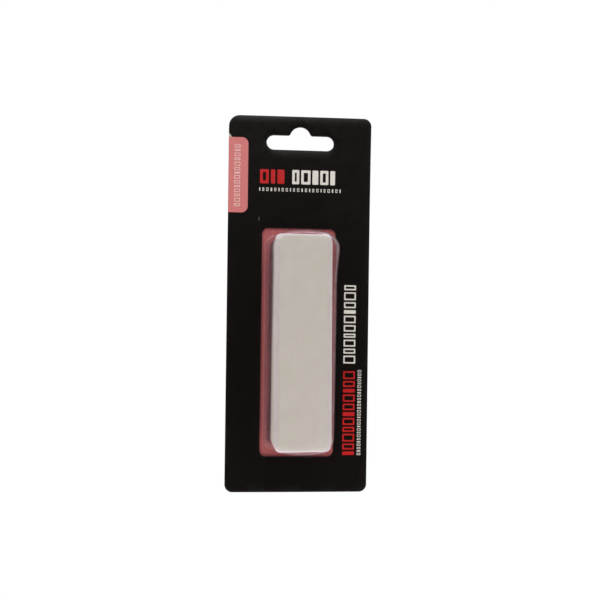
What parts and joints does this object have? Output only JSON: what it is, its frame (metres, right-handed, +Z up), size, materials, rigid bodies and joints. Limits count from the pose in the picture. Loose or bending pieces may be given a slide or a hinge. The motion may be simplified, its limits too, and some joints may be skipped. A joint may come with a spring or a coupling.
{
  "type": "nail buffer block in a hang pack",
  "caption": "A foam nail buffer block with abrasive faces, held in a clear blister on a black printed hang card with a window and a peg slot.",
  "frame": {"origin": "the top of the hang slot's middle bump, where a peg hook carries the pack, on the plane where the rear board meets the blister's flange", "axes": "+X to the right and +Z up as the pack hangs, seen from its printed front; the front and the blister face -Y, the back card's rear face +Y"},
  "size_m": [0.0666, 0.0267, 0.175],
  "materials": {
    "board_black": "satin",
    "board_pink": "matte",
    "seal_coat": "satin",
    "clear_sheet": "polished",
    "foam_white": "matte",
    "adhesive_film": "satin",
    "abrasive_ivory": "matte"
  },
  "bodies": {
    "pack": {"front_card": "board_black", "seal_layer": "seal_coat", "blister": "clear_sheet"},
    "back_panel": {"back_card": "board_pink"},
    "buffer": {"foam_core": "foam_white", "adhesive_front": "adhesive_film", "abrasive_front": "abrasive_ivory", "adhesive_right": "adhesive_film", "abrasive_right": "abrasive_ivory", "adhesive_back": "adhesive_film", "abrasive_back": "abrasive_ivory", "adhesive_left": "adhesive_film", "abrasive_left": "abrasive_ivory"}
  },
  "joints": [
    {"name": "back_card_peel", "type": "hinge", "parent": "pack", "child": "back_panel", "pos_m": [-0.03325, 0, -0.0828], "axis": [0, 0, 1], "range_deg": [0, 150]},
    {"name": "buffer_slide", "type": "slide", "parent": "pack", "child": "buffer", "axis": [0, 1, 0], "range_m": [0, 0.042]}
  ],
  "couplings": [
    {"joint": "buffer_slide", "follows": "back_card_peel", "m_per_rad": 0.016}
  ]
}
